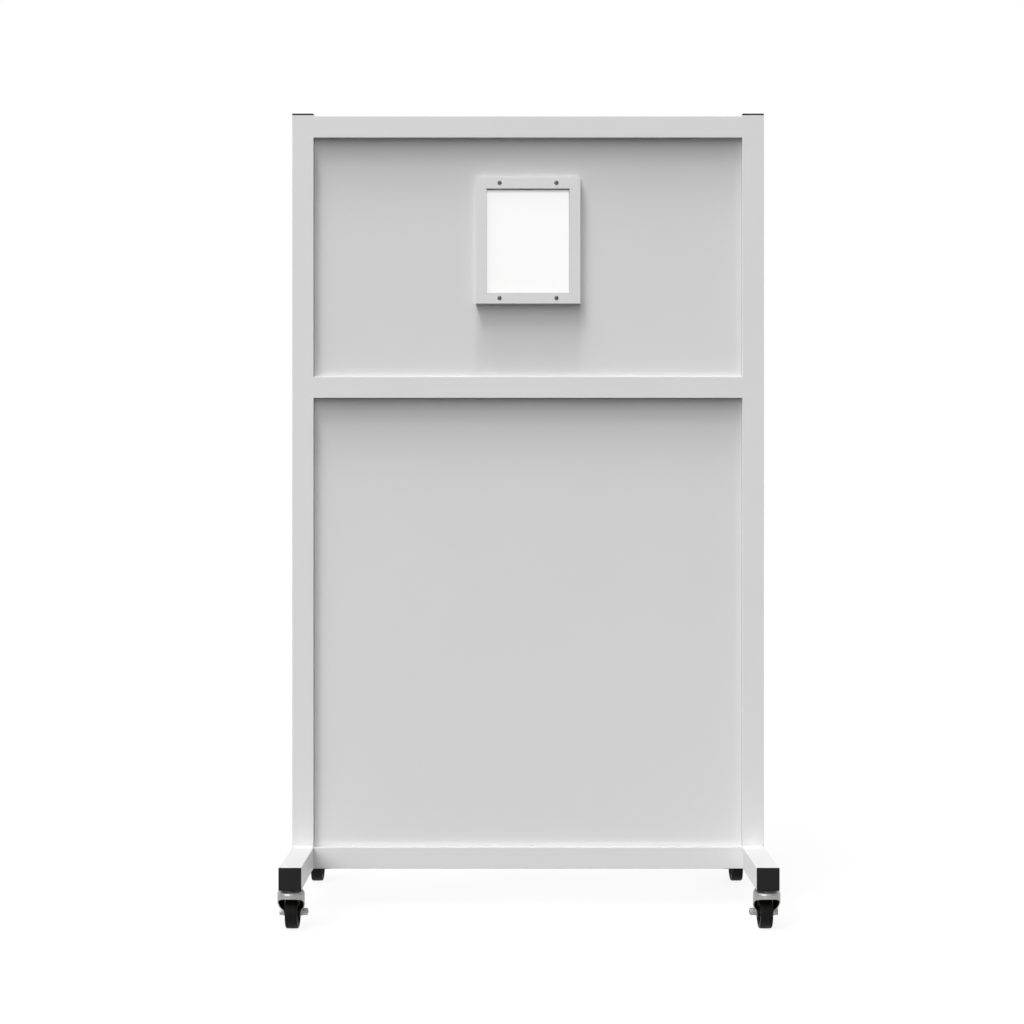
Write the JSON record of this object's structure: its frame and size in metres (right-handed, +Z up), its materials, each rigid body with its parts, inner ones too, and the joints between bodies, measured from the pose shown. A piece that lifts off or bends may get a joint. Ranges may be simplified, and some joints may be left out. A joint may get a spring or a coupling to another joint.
{
  "type": "mobile lead barrier",
  "caption": "Mobile radiation barrier: a white square-tube frame on swivel casters holds lead-lined panels, with a framed lead-glass viewing window at face height.",
  "frame": {"origin": "centre of the bounding box at the floor, where the wheels stand", "axes": "+Z up, +X to the right as seen from the front, +Y to the back"},
  "size_m": [1.1278, 0.578, 1.8848],
  "materials": {
    "powder_coat": "satin white powder coat on steel",
    "panel_laminate": "matt white laminate",
    "panel_core": "plywood",
    "lead": "dull grey rolled lead",
    "lead_glass": "clear polished",
    "black_plastic": "matt black moulded",
    "black_rubber": "matt black",
    "screw_steel": "dark steel",
    "zinc_steel": "zinc plated",
    "ball_steel": "polished",
    "wheel_core": "matt black moulded",
    "tyre": "matt black rubber"
  },
  "bodies": {
    "frame": {"left_upright": "powder_coat", "right_upright": "powder_coat", "top_rail": "powder_coat", "middle_rail": "powder_coat", "bottom_rail": "powder_coat", "left_foot": "powder_coat", "right_foot": "powder_coat", "upright_caps": "black_plastic", "foot_caps": "black_plastic", "stem_inserts": "zinc_steel", "upper_front_laminate": "panel_laminate", "upper_front_core": "panel_core", "upper_lead_sheet": "lead", "upper_back_core": "panel_core", "upper_back_laminate": "panel_laminate", "lower_front_laminate": "panel_laminate", "lower_front_core": "panel_core", "lower_lead_sheet": "lead", "lower_back_core": "panel_core", "lower_back_laminate": "panel_laminate", "upper_retaining_angles": "powder_coat", "lower_retaining_angles": "powder_coat", "retaining_screws": "screw_steel", "window_frame_front": "powder_coat", "window_frame_rear": "powder_coat", "window_gaskets": "black_rubber", "lead_glass": "lead_glass", "window_liner": "powder_coat", "window_screws": "screw_steel", "window_sleeve_nuts": "screw_steel", "caster_stems": "zinc_steel", "caster_washers": "black_plastic", "swivel_balls": "ball_steel"},
    "front_left_swivel": {"front_left_fork": "zinc_steel", "front_left_axle": "zinc_steel", "front_left_axle_sleeve": "zinc_steel", "front_left_brake_pin": "zinc_steel"},
    "front_left_wheel": {"front_left_wheel_core": "wheel_core", "front_left_tyre": "tyre"},
    "front_left_brake": {"front_left_brake_pedal": "black_plastic"},
    "front_right_swivel": {"front_right_fork": "zinc_steel", "front_right_axle": "zinc_steel", "front_right_axle_sleeve": "zinc_steel", "front_right_brake_pin": "zinc_steel"},
    "front_right_wheel": {"front_right_wheel_core": "wheel_core", "front_right_tyre": "tyre"},
    "front_right_brake": {"front_right_brake_pedal": "black_plastic"},
    "rear_left_swivel": {"rear_left_fork": "zinc_steel", "rear_left_axle": "zinc_steel", "rear_left_axle_sleeve": "zinc_steel"},
    "rear_left_wheel": {"rear_left_wheel_core": "wheel_core", "rear_left_tyre": "tyre"},
    "rear_right_swivel": {"rear_right_fork": "zinc_steel", "rear_right_axle": "zinc_steel", "rear_right_axle_sleeve": "zinc_steel"},
    "rear_right_wheel": {"rear_right_wheel_core": "wheel_core", "rear_right_tyre": "tyre"}
  },
  "joints": [
    {"name": "front_left_swivel_turn", "type": "hinge", "parent": "frame", "child": "front_left_swivel", "pos_m": [-0.5334, -0.2585, 0.0885], "axis": [0, 0, 1], "continuous": true},
    {"name": "front_left_wheel_roll", "type": "hinge", "parent": "front_left_swivel", "child": "front_left_wheel", "pos_m": [-0.5334, -0.2285, 0.0375], "axis": [1, 0, 0], "continuous": true},
    {"name": "front_left_brake_press", "type": "hinge", "parent": "front_left_swivel", "child": "front_left_brake", "pos_m": [-0.5334, -0.2135, 0.079], "axis": [1, 0, 0], "range_deg": [-9.5, 0]},
    {"name": "front_right_swivel_turn", "type": "hinge", "parent": "frame", "child": "front_right_swivel", "pos_m": [0.5334, -0.2585, 0.0885], "axis": [0, 0, 1], "continuous": true},
    {"name": "front_right_wheel_roll", "type": "hinge", "parent": "front_right_swivel", "child": "front_right_wheel", "pos_m": [0.5334, -0.2285, 0.0375], "axis": [1, 0, 0], "continuous": true},
    {"name": "front_right_brake_press", "type": "hinge", "parent": "front_right_swivel", "child": "front_right_brake", "pos_m": [0.5334, -0.2135, 0.079], "axis": [1, 0, 0], "range_deg": [-9.5, 0]},
    {"name": "rear_left_swivel_turn", "type": "hinge", "parent": "frame", "child": "rear_left_swivel", "pos_m": [-0.5334, 0.2215, 0.0885], "axis": [0, 0, 1], "continuous": true},
    {"name": "rear_left_wheel_roll", "type": "hinge", "parent": "rear_left_swivel", "child": "rear_left_wheel", "pos_m": [-0.5334, 0.2515, 0.0375], "axis": [1, 0, 0], "continuous": true},
    {"name": "rear_right_swivel_turn", "type": "hinge", "parent": "frame", "child": "rear_right_swivel", "pos_m": [0.5334, 0.2215, 0.0885], "axis": [0, 0, 1], "continuous": true},
    {"name": "rear_right_wheel_roll", "type": "hinge", "parent": "rear_right_swivel", "child": "rear_right_wheel", "pos_m": [0.5334, 0.2515, 0.0375], "axis": [1, 0, 0], "continuous": true}
  ]
}
